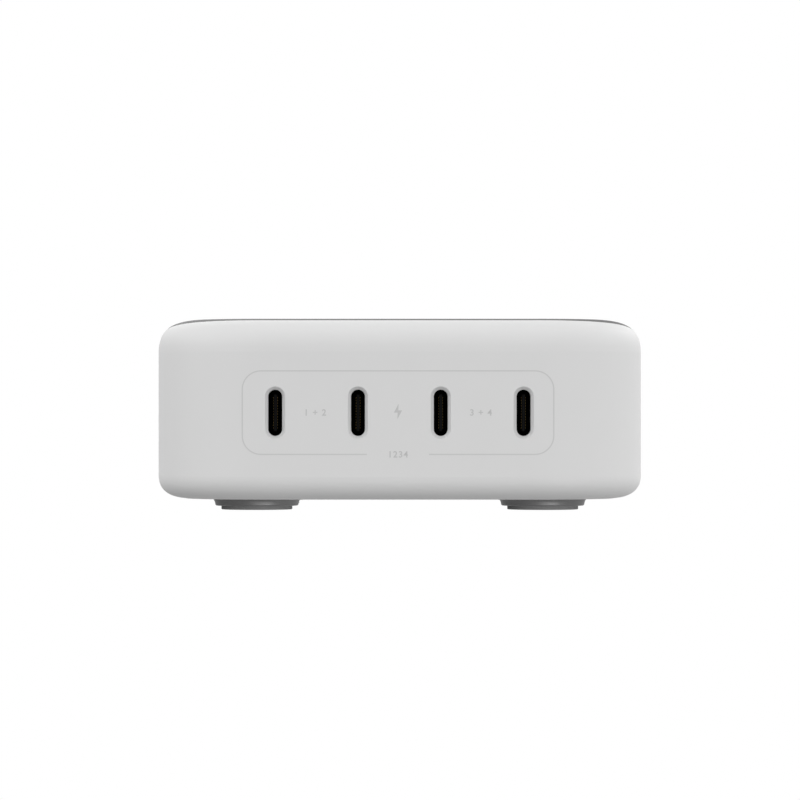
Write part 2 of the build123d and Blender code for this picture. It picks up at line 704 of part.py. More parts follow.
def make_surge_disc():
    x = INLET_WIDTH / 2 + ROW_GAP + DISC_THICKNESS / 2
    y = REAR_FRONT + DISC_DIAMETER / 2
    middle = BOARD_TOP + DISC_RISE + DISC_DIAMETER / 2
    disc = Pos(x, y, middle) * Rot(0, 90, 0) * Cylinder(DISC_DIAMETER / 2, DISC_THICKNESS)
    for side in (-1, 1):
        disc += drum(LEAD_DIAMETER, middle - BOARD_TOP, x, y + side * LEAD_SPACING / 2, BOARD_TOP)
    return disc


# Low-voltage side

def make_output_capacitor(x, y):
    can = drum(OUTPUT_DIAMETER, OUTPUT_HEIGHT, x, y, BOARD_TOP)
    return fillet(can.edges().sort_by(Axis.Z)[-1], OUTPUT_ROUND)


def make_output_capacitors():
    """Two cans on each hand, between an inner port's chip and the outer port's coil."""
    inner_port, outer_port = PORTS[2:]
    x = (chip_face(*inner_port) + coil_face(*outer_port)) / 2
    first = CARD_FRONT + OUTPUT_SETBACK + OUTPUT_DIAMETER / 2
    rows = [first, first + OUTPUT_DIAMETER + OUTPUT_GAP]
    return [make_output_capacitor(side * x, y) for y in rows for side in (-1, 1)]


def make_power_switches():
    x = BOARD_WIDTH / 2 - SWITCH_EDGE - SWITCH_WIDTH / 2
    y = ROW_FRONT - SWITCH_SETBACK
    return [block(SWITCH_WIDTH, SWITCH_DEPTH, SWITCH_HEIGHT, side * x, y, BOARD_TOP) for side in (-1, 1)]


# All nodes by name

def charger_nodes():
    body = soft_body()
    nodes = {
        "housing": make_housing(body),
        "top_plate": make_top_plate(body),
        "bottom_cover": make_bottom_cover(),
        "cover_screws": [make_cover_screw(x, y) for x, y in CORNERS.values()],
        "inlet_body": make_inlet_body(),
        "inlet_pins": [make_inlet_pin(x, z) for x, z in pin_places()],
        "main_board": make_main_board(),
        "insulation_sheet": make_insulation_sheet(),
        "port_coils": [make_port_coil(x, side) for x, side in PORTS],
        "port_chips": [make_port_chip(x, side) for x, side in PORTS],
        "storage_capacitor_1": make_storage_capacitor(STORAGE_1_X),
        "storage_capacitor_2": make_storage_capacitor(STORAGE_2_X),
        "transformer_core": make_core(TRANSFORMER_WIDTH, TRANSFORMER_DEPTH, TRANSFORMER_HEIGHT,
                                      TRANSFORMER_LEG, TRANSFORMER_X, TRANSFORMER_Y),
        "transformer_bobbin": make_bobbin(TRANSFORMER_WIDTH, TRANSFORMER_HEIGHT, TRANSFORMER_LEG,
                                          TRANSFORMER_X, TRANSFORMER_Y),
        "transformer_winding": make_transformer_winding(),
        "thermal_pad": make_thermal_pad(),
        "heat_spreader": make_heat_spreader(),
        "boost_core": make_core(BOOST_WIDTH, BOOST_DEPTH, BOOST_HEIGHT, BOOST_LEG, BOOST_X, BOOST_Y),
        "boost_winding": make_boost_winding(),
        "choke_core": make_choke_core(),
        "choke_winding": make_choke_windings(),
        "bridge_rectifier": make_bridge_rectifier(),
        "rectifier_heat_sink": make_heat_sink(),
        "filter_capacitor": make_filter_capacitor(),
        "fuse": make_fuse(),
        "surge_disc": make_surge_disc(),
        "output_capacitors": make_output_capacitors(),
        "power_switches": make_power_switches(),
    }
    for name, (x, y) in CORNERS.items():
        nodes[f"foot_cup_{name}"] = make_foot_cup(x, y)
        nodes[f"foot_pad_{name}"] = make_foot_pad(x, y)
    for number, (x, side) in enumerate(PORTS, start=1):
        nodes[f"port_shell_{number}"] = make_port_shell(x)
        nodes[f"port_insert_{number}"] = make_port_insert(x)
        nodes[f"port_board_{number}"] = make_port_board(x, side)
    return nodes


def export_node(name, shape):
    """Write one node, a single piece or a group of separate like pieces."""
    solids = []
    for piece in shape if isinstance(shape, list) else [shape]:
        solids += piece.solids()
    whole = solids[0] if len(solids) == 1 else Compound(solids)
    export_step(whole, f"parts/{name}.step")


os.makedirs("parts", exist_ok=True)
for node_name, node_shape in charger_nodes().items():
    export_node(node_name, node_shape)
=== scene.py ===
# %% [markdown]
# # A desktop charger, dressed for its photograph
# The solids of this charger were drawn in a CAD program and packed as one model.
# Here they are loaded as a fixed frame, so every size is already right and nothing has to be fitted.
# What is left for Blender is the look: finishes, print, soft edges on the feet, contact strips, light
# and a camera.

# %% Load the frame
import bpy
import json
import math
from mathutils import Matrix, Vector
from mathutils.geometry import interpolate_bezier


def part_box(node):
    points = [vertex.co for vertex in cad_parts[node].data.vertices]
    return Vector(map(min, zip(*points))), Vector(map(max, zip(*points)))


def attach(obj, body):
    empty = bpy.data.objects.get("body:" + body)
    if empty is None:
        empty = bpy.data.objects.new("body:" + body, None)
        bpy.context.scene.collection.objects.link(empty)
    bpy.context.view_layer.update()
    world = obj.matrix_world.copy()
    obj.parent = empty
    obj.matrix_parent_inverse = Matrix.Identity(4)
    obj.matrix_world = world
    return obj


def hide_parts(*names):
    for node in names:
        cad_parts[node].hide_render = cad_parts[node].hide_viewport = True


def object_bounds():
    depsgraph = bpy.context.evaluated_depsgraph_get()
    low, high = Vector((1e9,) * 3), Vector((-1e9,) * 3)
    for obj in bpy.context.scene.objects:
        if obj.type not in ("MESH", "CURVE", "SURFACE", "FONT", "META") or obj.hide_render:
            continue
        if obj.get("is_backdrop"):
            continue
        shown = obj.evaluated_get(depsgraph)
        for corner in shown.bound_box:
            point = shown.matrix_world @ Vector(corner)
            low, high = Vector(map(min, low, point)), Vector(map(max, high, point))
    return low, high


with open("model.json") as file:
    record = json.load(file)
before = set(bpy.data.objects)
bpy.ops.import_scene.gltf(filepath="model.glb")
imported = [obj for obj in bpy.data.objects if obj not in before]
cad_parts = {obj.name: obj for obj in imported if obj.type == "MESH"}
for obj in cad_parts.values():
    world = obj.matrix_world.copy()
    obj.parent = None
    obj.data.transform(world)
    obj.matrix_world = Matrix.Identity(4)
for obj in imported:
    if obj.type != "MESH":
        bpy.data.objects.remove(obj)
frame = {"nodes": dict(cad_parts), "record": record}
cad_low, cad_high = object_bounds()
nodes = frame["nodes"]
MM = 0.001
print("nodes:", len(nodes))
print("size in mm:", [round(side / MM, 2) for side in cad_high - cad_low])

# %% [markdown]
# ## A grain that all moulded pieces share
# Moulded plastic is never quite flat. The mould is spark-eroded or blasted, and it leaves a fine grain.
# An image texture could carry that, but a noise in object space needs no unwrapping and has the same
# size on every piece. The grain is built once as a node group, and each finish sets its own size and depth.

# %% Node group for the moulded grain
def add_number(group, name, value):
    socket = group.interface.new_socket(name, in_out="INPUT", socket_type="NodeSocketFloat")
    socket.default_value = value


def add_colour(group, name):
    group.interface.new_socket(name, in_out="INPUT", socket_type="NodeSocketColor")


grain = bpy.data.node_groups.new("moulded_grain", "ShaderNodeTree")
add_colour(grain, "Pale")
add_colour(grain, "Deep")
add_number(grain, "Grain Scale", 5000.0)
add_number(grain, "Rough From", 0.5)
add_number(grain, "Rough To", 0.6)
grain.interface.new_socket("Color", in_out="OUTPUT", socket_type="NodeSocketColor")
grain.interface.new_socket("Roughness", in_out="OUTPUT", socket_type="NodeSocketFloat")
grain.interface.new_socket("Height", in_out="OUTPUT", socket_type="NodeSocketFloat")
print("group sockets:", len(grain.interface.items_tree))

# %% Wire the grain
GRAIN_DETAIL = 3.0
MOTTLE_SCALE = 160.0
MOTTLE_DETAIL = 2.0

grain_in = grain.nodes.new("NodeGroupInput")
grain_out = grain.nodes.new("NodeGroupOutput")
place = grain.nodes.new("ShaderNodeTexCoord")
fine = grain.nodes.new("ShaderNodeTexNoise")
fine.inputs["Detail"].default_value = GRAIN_DETAIL
broad = grain.nodes.new("ShaderNodeTexNoise")
broad.inputs["Scale"].default_value = MOTTLE_SCALE
broad.inputs["Detail"].default_value = MOTTLE_DETAIL
tint = grain.nodes.new("ShaderNodeMix")
tint.data_type = "RGBA"
rough = grain.nodes.new("ShaderNodeMapRange")

wire = grain.links.new
wire(place.outputs["Object"], fine.inputs["Vector"])
wire(place.outputs["Object"], broad.inputs["Vector"])
wire(grain_in.outputs["Grain Scale"], fine.inputs["Scale"])
wire(broad.outputs["Fac"], tint.inputs["Factor"])
wire(grain_in.outputs["Deep"], tint.inputs["A"])
wire(grain_in.outputs["Pale"], tint.inputs["B"])
wire(fine.outputs["Fac"], rough.inputs["Value"])
wire(grain_in.outputs["Rough From"], rough.inputs["To Min"])
wire(grain_in.outputs["Rough To"], rough.inputs["To Max"])
wire(tint.outputs["Result"], grain_out.inputs["Color"])
wire(rough.outputs["Result"], grain_out.inputs["Roughness"])
wire(fine.outputs["Fac"], grain_out.inputs["Height"])
print("grain nodes:", len(grain.nodes))

# %% [markdown]
# ## A helper for finishes
# A finish is a Principled shader fed by the grain group. Its colour wanders between two close shades,
# its roughness follows the grain, and a Bump node turns the grain into shading.
# What is the same all over a piece, such as how metallic it is, is set straight on the shader.

# %% Helper for one finish
BUMP_DISTANCE = 0.02 * MM


def make_finish(name, pale, deep, rough_from, rough_to, scale, depth, metallic=0.0, specular=0.5):
    finish = bpy.data.materials.new(name)
    finish.use_nodes = True
    tree = finish.node_tree
    shader = tree.nodes["Principled BSDF"]
    shader.inputs["Metallic"].default_value = metallic
    shader.inputs["Specular IOR Level"].default_value = specular
    texture = tree.nodes.new("ShaderNodeGroup")
    texture.node_tree = grain
    texture.inputs["Pale"].default_value = (*pale, 1.0)
    texture.inputs["Deep"].default_value = (*deep, 1.0)
    texture.inputs["Grain Scale"].default_value = scale
    texture.inputs["Rough From"].default_value = rough_from
    texture.inputs["Rough To"].default_value = rough_to
    bump = tree.nodes.new("ShaderNodeBump")
    bump.inputs["Strength"].default_value = depth
    bump.inputs["Distance"].default_value = BUMP_DISTANCE
    tree.links.new(texture.outputs["Color"], shader.inputs["Base Color"])
    tree.links.new(texture.outputs["Roughness"], shader.inputs["Roughness"])
    tree.links.new(texture.outputs["Height"], bump.inputs["Height"])
    tree.links.new(bump.outputs["Normal"], shader.inputs["Normal"])
    return finish


def grey(value):
    return (value, value, value)


print("finish helper ready")

# %% [markdown]
# ## Finishes that show
# The body is a pale neutral grey with a soft satin grain. The plate on top is a dark matt grey, the feet
# are dark satin plastic with matt rubber pads, and the sockets are almost black inside. The cups of the
# feet are a little smoother than the body, so that a low lamp leaves a soft gleam on them.

# %% Outer finishes
finishes = {}
finishes["body_plastic"] = make_finish("body_plastic", grey(0.725), grey(0.710), 0.50, 0.60, 5200, 0.10)
finishes["top_plastic"] = make_finish("top_plastic", grey(0.060), grey(0.050), 0.46, 0.58, 3600, 0.45)
finishes["foot_plastic"] = make_finish(
    "foot_plastic", grey(0.093), grey(0.084), 0.36, 0.46, 4200, 0.08, specular=0.5)
finishes["foot_rubber"] = make_finish(
    "foot_rubber", grey(0.140), grey(0.126), 0.62, 0.72, 2600, 0.30, specular=0.15)
finishes["port_metal"] = make_finish(
    "port_metal", grey(0.10), grey(0.08), 0.50, 0.62, 4200, 0.05, metallic=0.6)
finishes["port_plastic"] = make_finish(
    "port_plastic", grey(0.006), grey(0.005), 0.55, 0.68, 4200, 0.10, specular=0.04)
finishes["inlet_plastic"] = make_finish("inlet_plastic", grey(0.022), grey(0.016), 0.45, 0.58, 3600, 0.20)
finishes["pin_metal"] = make_finish(
    "pin_metal", grey(0.62), grey(0.55), 0.18, 0.28, 1500, 0.05, metallic=1.0)
finishes["print_ink"] = make_finish("print_ink", grey(0.61), grey(0.59), 0.55, 0.65, 5200, 0.05)
finishes["label_ink"] = make_finish("label_ink", grey(0.565), grey(0.545), 0.55, 0.65, 5200, 0.05)
print("outer finishes:", sorted(finishes))

# %% [markdown]
# ## Finishes inside
# Nobody sees the works of a closed charger, but someone who takes it apart in another scene will.
# So each piece inside gets the colour of its trade too: green boards, black chips, grey ferrite, red copper.

# %% Inner finishes
finishes["screw_steel"] = make_finish(
    "screw_steel", grey(0.42), grey(0.34), 0.30, 0.42, 2400, 0.10, metallic=1.0)
finishes["board"] = make_finish(
    "board", (0.020, 0.120, 0.050), (0.012, 0.090, 0.036), 0.30, 0.42, 900, 0.10)
finishes["sheet_plastic"] = make_finish("sheet_plastic", grey(0.62), grey(0.55), 0.35, 0.50, 1600, 0.05)
finishes["chip_plastic"] = make_finish("chip_plastic", grey(0.030), grey(0.022), 0.55, 0.70, 3600, 0.20)
finishes["ferrite"] = make_finish("ferrite", grey(0.075), grey(0.050), 0.50, 0.70, 1800, 0.40)
finishes["copper"] = make_finish(
    "copper", (0.60, 0.24, 0.10), (0.48, 0.18, 0.07), 0.25, 0.38, 1400, 0.20, metallic=1.0)
finishes["bobbin_plastic"] = make_finish("bobbin_plastic", grey(0.050), grey(0.040), 0.40, 0.55, 3000, 0.10)
finishes["can_sleeve"] = make_finish("can_sleeve", grey(0.040), grey(0.030), 0.30, 0.40, 2000, 0.05)
finishes["can_metal"] = make_finish(
    "can_metal", grey(0.72), grey(0.64), 0.25, 0.35, 1800, 0.05, metallic=1.0)
finishes["sink_metal"] = make_finish(
    "sink_metal", grey(0.70), grey(0.60), 0.32, 0.48, 1200, 0.15, metallic=1.0)
finishes["pad_silicone"] = make_finish(
    "pad_silicone", (0.36, 0.42, 0.50), (0.30, 0.36, 0.44), 0.60, 0.75, 1500, 0.2)
finishes["disc_coating"] = make_finish(
    "disc_coating", (0.05, 0.13, 0.34), (0.04, 0.10, 0.28), 0.30, 0.45, 1500, 0.1)
print("all finishes:", len(finishes))

# %% [markdown]
# ## Finishes onto the solids
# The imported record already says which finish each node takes, by the name of a slot.
# So one short loop reads the record and hands each node its material.

# %% Paint the nodes
slot_of = {part["node"]: part["material_slot"] for part in frame["record"]["subparts"]}
for name, node in nodes.items():
    node.data.materials.clear()
    node.data.materials.append(finishes[slot_of[name]])
print("painted:", len(slot_of))

# %% [markdown]
# ## A clean start for every new piece
# Blender's operators act on whatever is selected, and the loader leaves all the solids selected.
# So each new piece begins with nothing selected. When it is done, its place goes into its mesh and it is
# told to ride with the charger, so that it follows wherever the charger is moved.

# %% Helpers for new pieces
def start_fresh():
    if bpy.context.object and bpy.context.object.mode != "OBJECT":
        bpy.ops.object.mode_set(mode="OBJECT")
    bpy.ops.object.select_all(action="DESELECT")


def copy_of(piece):
    start_fresh()
    piece.select_set(True)
    bpy.context.view_layer.objects.active = piece
    bpy.ops.object.duplicate(linked=False)
    return bpy.context.object


def settle(piece, name, finish):
    piece.name = name
    piece.data.name = name
    bpy.ops.object.transform_apply(location=True, rotation=True, scale=True)
    piece.data.materials.clear()
    piece.data.materials.append(finish)
    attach(piece, "root")
    print(name, "faces:", len(piece.data.polygons))


# %% [markdown]
# ## The printed frame
# A hair-thin grey line runs round the ports, with a break at the bottom where a label stands.
# It could be painted by the shader, but print that is a thin piece of its own stays sharp at any distance.
# A plane gets round corners by a vertex bevel, an inset leaves only its border, and two cuts open the break.
# The ends of the line lie on the rounded corners of the body, so a Shrinkwrap lays it on the housing,
# and a Solidify gives it the thickness of a coat of ink.

# %% Sizes of the print
FRAME_WIDTH = 56.85 * MM
FRAME_HEIGHT = 15.4 * MM
FRAME_CORNER = 3.5 * MM
CORNER_STEPS = 12
FRAME_BREAK = 11.3 * MM
LINE_WIDTH = 0.22 * MM
PRINT_SHIFT = -0.25 * MM
FRAME_RISE = 18.04 * MM
INK_THICKNESS = 0.02 * MM
UPRIGHT = (math.radians(90), 0, 0)

front = cad_low.y
print("front face at mm:", round(front / MM, 3))

# %% The line itself
start_fresh()
line_place = (PRINT_SHIFT, front - MM, FRAME_RISE)
bpy.ops.mesh.primitive_plane_add(size=1, location=line_place, rotation=UPRIGHT)
line = bpy.context.object
line.scale = (FRAME_WIDTH, FRAME_HEIGHT, 1)
bpy.ops.object.transform_apply(location=True, rotation=True, scale=True)
bpy.ops.object.mode_set(mode="EDIT")
bpy.ops.mesh.select_all(action="SELECT")
bpy.ops.mesh.bevel(affect="VERTICES", offset=FRAME_CORNER, segments=CORNER_STEPS)
bpy.ops.mesh.inset(thickness=LINE_WIDTH)
bpy.ops.mesh.delete(type="FACE")
print("border faces:", len(line.data.polygons))

# %% The break in its lower run
for end in (-FRAME_BREAK / 2, FRAME_BREAK / 2):
    bpy.ops.mesh.select_all(action="SELECT")
    bpy.ops.mesh.bisect(plane_co=(PRINT_SHIFT + end, 0, 0), plane_no=(1, 0, 0))
bpy.ops.mesh.select_all(action="DESELECT")
bpy.ops.object.mode_set(mode="OBJECT")
for face in line.data.polygons:
    face.select = abs(face.center.x - PRINT_SHIFT) < FRAME_BREAK / 2 and face.center.z < FRAME_RISE
bpy.ops.object.mode_set(mode="EDIT")
bpy.ops.mesh.delete(type="FACE")
bpy.ops.object.mode_set(mode="OBJECT")
print("faces left:", len(line.data.polygons))

# %% Laid on the housing
def coat_with_ink(piece):
    coat = piece.modifiers.new("coat_of_ink", "SOLIDIFY")
    coat.thickness = INK_THICKNESS
    coat.offset = 1.0
    bpy.ops.object.modifier_apply(modifier=coat.name)


wrap = line.modifiers.new("lie_on_housing", "SHRINKWRAP")
wrap.target = nodes["housing"]
wrap.wrap_method = "PROJECT"
wrap.use_project_y = True
bpy.ops.object.modifier_apply(modifier=wrap.name)
coat_with_ink(line)
settle(line, "print_frame", finishes["print_ink"])

# %% [markdown]
# ## Port numbers
# Between the ports and in the break of the line stand small labels. Here they are plain port numbers.
# A text object is the quick way to make them. Its extrude gives the ink its thickness,
# and it is turned into a mesh before its place is applied.

# %% Labels
LABEL_SIZE = 1.62 * MM
LABEL_WEIGHT = 0.03 * MM
LABEL_SPACING = 1.18
LABEL_RISE = 18.0 * MM
BREAK_RISE = 10.39 * MM


def port_centre(number):
    low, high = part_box(f"port_shell_{number}")
    return (low + high) / 2


def print_label(name, words, x, z):
    start_fresh()
    bpy.ops.object.text_add(location=(x, front, z), rotation=UPRIGHT)
    label = bpy.context.object
    label.data.body = words
    label.data.size = LABEL_SIZE
    label.data.offset = LABEL_WEIGHT
    label.data.space_character = LABEL_SPACING
    label.data.align_x = "CENTER"
    label.data.align_y = "CENTER"
    label.data.extrude = INK_THICKNESS
    bpy.ops.object.convert(target="MESH")
    label = bpy.context.object
    print("label size in mm:", [round(side / MM, 2) for side in label.dimensions])
    settle(label, name, finishes["label_ink"])


left_pair = (port_centre(1).x + port_centre(2).x) / 2
right_pair = (port_centre(3).x + port_centre(4).x) / 2
print_label("print_ports_1_2", "1 + 2", left_pair + PRINT_SHIFT, LABEL_RISE)
print_label("print_ports_3_4", "3 + 4", right_pair + PRINT_SHIFT, LABEL_RISE)
print_label("print_ports_all", "1234", PRINT_SHIFT, BREAK_RISE)

# %% [markdown]
# ## The bolt sign
# A small bolt stands in the middle, the common sign for power. Half of it is a plane with its four corners
# pulled to their places. The other half is the same shape turned half a circle about the middle,
# and the two share one edge, so merging them leaves a single clean outline.

# %% Half a bolt
BOLT_RISE = 18.24 * MM
BOLT_TIP = (0.12, 1.42)
BOLT_ELBOW = (-0.74, -0.20)
BOLT_WAIST = (-0.05, -0.20)
BOLT_OTHER_WAIST = (0.05, 0.20)
MERGE_WITHIN = 0.01 * MM
half_bolt = [BOLT_ELBOW, BOLT_WAIST, BOLT_TIP, BOLT_OTHER_WAIST]

start_fresh()
bolt_place = Vector((PRINT_SHIFT, front, BOLT_RISE))
bpy.ops.mesh.primitive_plane_add(size=MM, location=bolt_place, rotation=UPRIGHT)
bolt = bpy.context.object
bpy.ops.object.transform_apply(location=True, rotation=True, scale=True)
for index, (across, up) in enumerate(half_bolt):
    corner = bolt_place + Vector((across * MM, 0, up * MM))
    step = corner - bolt.data.vertices[index].co
    bpy.ops.object.mode_set(mode="EDIT")
    bpy.ops.mesh.select_all(action="DESELECT")
    bpy.ops.object.mode_set(mode="OBJECT")
    bolt.data.vertices[index].select = True
    bpy.ops.object.mode_set(mode="EDIT")
    bpy.ops.transform.translate(value=step)
    bpy.ops.object.mode_set(mode="OBJECT")
print("half bolt size in mm:", [round(side / MM, 2) for side in bolt.dimensions])

# %% The other half, and the ink
bpy.ops.object.mode_set(mode="EDIT")
bpy.ops.mesh.select_all(action="SELECT")
bpy.ops.mesh.duplicate()
bpy.ops.transform.rotate(value=math.radians(180), orient_axis="Y", center_override=bolt_place)
bpy.ops.mesh.select_all(action="SELECT")
bpy.ops.mesh.remove_doubles(threshold=MERGE_WITHIN)
bpy.ops.object.mode_set(mode="OBJECT")
coat_with_ink(bolt)
settle(bolt, "print_bolt", finishes["label_ink"])

# %% [markdown]
# ## Cups with a soft lower edge
# Each foot is a dark cup that flares out to the body and holds a rubber pad. Its lower edge is softly
# rounded. The solid's edge is almost square, so a cup of the same section with a rounder edge takes its
# place. It starts as a circle, which is extruded and scaled ring by ring along the section, as on a lathe,
# and a bevel then rounds the lower edge.

# %% The cup's section
CUP_STEPS = 96
CUP_SIDE = 7.75 * MM
CUP_ROUND = 0.32 * MM
CUP_ROUND_STEPS = 6
FLARE_GAP = 0.016 * MM
FLARE_LEAN = 0.10 * MM
FLARE_REACH = 0.45 * MM
FLARE_STEPS = 10
RIM_THICKNESS = 0.08 * MM
PAD_CLEARANCE = 0.06 * MM
SPIGOT = 5.5 * MM

cup_low, cup_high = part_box("foot_cup_front_left")
pad_low, pad_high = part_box("foot_pad_front_left")
cup_axis = (cup_low + cup_high) / 2
under_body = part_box("bottom_cover")[0].z
rim = (cup_high.x - cup_low.x) / 2
rim_bottom = under_body - RIM_THICKNESS
pocket = (pad_high.x - pad_low.x) / 2 + PAD_CLEARANCE
flare_start = cup_low.z + CUP_ROUND + FLARE_GAP
flare = interpolate_bezier(
    Vector((CUP_SIDE, flare_start)), Vector((CUP_SIDE + FLARE_LEAN, (flare_start + rim_bottom) / 2)),
    Vector((rim - FLARE_REACH, rim_bottom)), Vector((rim, rim_bottom)), FLARE_STEPS)
section = [(pocket, pad_high.z), (pocket, cup_low.z), (CUP_SIDE, cup_low.z)]
section += [(point.x, point.y) for point in flare]
section += [(rim, under_body), (SPIGOT, under_body), (SPIGOT, cup_high.z)]
print("points of the section:", len(section), "under the body at mm:", round(under_body / MM, 3))

# %% The cup, ring by ring
start_fresh()
first_radius, first_height = section[0]
bpy.ops.mesh.primitive_circle_add(
    vertices=CUP_STEPS, radius=first_radius, location=(cup_axis.x, cup_axis.y, first_height))
cup = bpy.context.object
bpy.ops.object.mode_set(mode="EDIT")
bpy.ops.mesh.select_all(action="SELECT")
bpy.ops.mesh.edge_face_add()
for (radius, height), (next_radius, next_height) in zip(section, section[1:]):
    bpy.ops.mesh.extrude_region_move(TRANSFORM_OT_translate={"value": (0, 0, next_height - height)})
    grow = next_radius / radius
    bpy.ops.transform.resize(value=(grow, grow, 1), center_override=(cup_axis.x, cup_axis.y, next_height))
bpy.ops.object.mode_set(mode="OBJECT")
print("cup faces:", len(cup.data.polygons))

# %% Its soft edge
SLACK = 0.01 * MM
SMOOTH_UNDER = math.radians(40)

bpy.ops.object.mode_set(mode="EDIT")
bpy.ops.mesh.select_all(action="DESELECT")
bpy.ops.object.mode_set(mode="OBJECT")
for point in cup.data.vertices:
    on_side = abs(point.co.xy.length - CUP_SIDE) < SLACK
    point.select = on_side and abs(point.co.z + first_height - cup_low.z) < SLACK
print("points on the edge:", sum(point.select for point in cup.data.vertices))
bpy.ops.object.mode_set(mode="EDIT")
bpy.ops.mesh.bevel(offset=CUP_ROUND, segments=CUP_ROUND_STEPS, affect="EDGES")
bpy.ops.mesh.select_all(action="SELECT")
bpy.ops.mesh.normals_make_consistent(inside=False)
bpy.ops.object.mode_set(mode="OBJECT")
bpy.ops.object.shade_smooth_by_angle(angle=SMOOTH_UNDER)
settle(cup, "soft_cup_front_left", finishes["foot_plastic"])
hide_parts("foot_cup_front_left")

# %% A cup for each foot
soft_cups = [cup]
for corner in ("front_right", "rear_left", "rear_right"):
    copy = copy_of(cup)
    low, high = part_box(f"foot_cup_{corner}")
    bpy.ops.transform.translate(value=(low + high) / 2 - cup_axis)
    settle(copy, f"soft_cup_{corner}", finishes["foot_plastic"])
    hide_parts(f"foot_cup_{corner}")
    soft_cups.append(copy)

# %% [markdown]
# ## Contact strips in the sockets
# Each socket has a flat tongue with twelve flat contacts on either side. One strip is a cube that is
# stretched and bevelled. An Array repeats it along the tongue, a Mirror gives the far side,
# and the finished set is copied to the other three sockets, each copy with a mesh of its own.

# %% One set of contacts
STRIP_WIDTH = 0.26 * MM
STRIP_LENGTH = 3.4 * MM
STRIP_THICKNESS = 0.05 * MM
STRIP_PITCH = 0.5 * MM
STRIP_COUNT = 12
STRIP_SETBACK = 0.5 * MM
TONGUE_HALF = 0.35 * MM

tongue_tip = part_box("port_insert_1")[0].y
first_port = port_centre(1)
tongue_middle = Vector((first_port.x, tongue_tip + STRIP_SETBACK + STRIP_LENGTH / 2, first_port.z))
start_fresh()
bpy.ops.mesh.primitive_cube_add(size=1, location=tongue_middle)
strips = bpy.context.object
strips.scale = (STRIP_THICKNESS, STRIP_LENGTH, STRIP_WIDTH)
bpy.ops.object.transform_apply(location=False, rotation=False, scale=True)
bpy.ops.object.mode_set(mode="EDIT")
bpy.ops.mesh.select_all(action="SELECT")
out_of_tongue = TONGUE_HALF + STRIP_THICKNESS / 2
first_strip = -STRIP_PITCH * (STRIP_COUNT - 1) / 2
bpy.ops.transform.translate(value=(out_of_tongue, 0, first_strip))
bpy.ops.mesh.bevel(offset=STRIP_THICKNESS / 4, segments=1)
bpy.ops.object.mode_set(mode="OBJECT")
print("faces of one strip:", len(strips.data.polygons))

# %% Twelve to a side, and four sockets
row = strips.modifiers.new("along_the_tongue", "ARRAY")
row.count = STRIP_COUNT
row.use_relative_offset = False
row.use_constant_offset = True
row.constant_offset_displace = (0, 0, STRIP_PITCH)
bpy.ops.object.modifier_apply(modifier=row.name)
far_side = strips.modifiers.new("far_side", "MIRROR")
far_side.use_axis = (True, False, False)
far_side.use_mirror_merge = False
bpy.ops.object.modifier_apply(modifier=far_side.name)
finishes["contact_gold"] = make_finish(
    "contact_gold", (0.50, 0.36, 0.14), (0.42, 0.29, 0.10), 0.25, 0.35, 1600, 0.05, metallic=1.0)
settle(strips, "port_contacts_1", finishes["contact_gold"])
for number in (2, 3, 4):
    copy = copy_of(strips)
    bpy.ops.transform.translate(value=(port_centre(number).x - first_port.x, 0, 0))
    settle(copy, f"port_contacts_{number}", finishes["contact_gold"])

# %% [markdown]
# ## Floor and room
# The product stands in a plain white studio. The floor is a large plane at the height of the rubber pads.
# To the camera it is plain white. To all other light it is clear, like a sheet of glass, so that the room
# and a low lamp also reach the feet and the underside from below, which are dim but not lost.
# A Light Path node tells the two uses apart. It stays in the stage and is never used on the charger.

# %% Floor
FLOOR_SIZE = 6.0
FLOOR_WHITE = 1.0

start_fresh()
bpy.ops.mesh.primitive_plane_add(size=FLOOR_SIZE, location=(0, 0, cad_low.z))
floor = bpy.context.object
floor.name = "floor"
floor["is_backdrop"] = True
paper = bpy.data.materials.new("floor_paper")
paper.use_nodes = True
tree = paper.node_tree
tree.nodes.clear()
sight = tree.nodes.new("ShaderNodeLightPath")
seen = tree.nodes.new("ShaderNodeEmission")
seen.inputs["Strength"].default_value = FLOOR_WHITE
clear = tree.nodes.new("ShaderNodeBsdfTransparent")
either = tree.nodes.new("ShaderNodeMixShader")
surface = tree.nodes.new("ShaderNodeOutputMaterial")
tree.links.new(sight.outputs["Is Camera Ray"], either.inputs["Fac"])
tree.links.new(clear.outputs[0], either.inputs[1])
tree.links.new(seen.outputs[0], either.inputs[2])
tree.links.new(either.outputs[0], surface.inputs["Surface"])
floor.data.materials.append(paper)
print("floor at mm:", round(cad_low.z / MM, 3))

# %% [markdown]
# ## A room that is brighter above
# A studio with a lit ceiling is bright above and behind, and dim below. Here the world does that. The Dot
# Product of the direction of view with a short arrow is added to an even light, so the room gets brighter
# where the arrow points and dimmer on the far side. The camera itself sees plain white.

# %% Room
ROOM_LIGHT = 0.59
ROOM_LEAN = (0.10, 0.20, 0.37)

room = bpy.data.worlds.new("studio_room")
room.use_nodes = True
bpy.context.scene.world = room
tree = room.node_tree
tree.nodes.clear()
heading = tree.nodes.new("ShaderNodeTexCoord")
facing = tree.nodes.new("ShaderNodeVectorMath")
facing.operation = "DOT_PRODUCT"
facing.inputs[1].default_value = ROOM_LEAN
strength = tree.nodes.new("ShaderNodeMath")
strength.operation = "ADD"
strength.inputs[1].default_value = ROOM_LIGHT
sight = tree.nodes.new("ShaderNodeLightPath")
glow = tree.nodes.new("ShaderNodeBackground")
glow.inputs["Color"].default_value = (*grey(1.0), 1.0)
white = tree.nodes.new("ShaderNodeBackground")
white.inputs["Color"].default_value = (*grey(1.0), 1.0)
either = tree.nodes.new("ShaderNodeMixShader")
world_out = tree.nodes.new("ShaderNodeOutputWorld")
tree.links.new(heading.outputs["Generated"], facing.inputs[0])
tree.links.new(facing.outputs["Value"], strength.inputs[0])
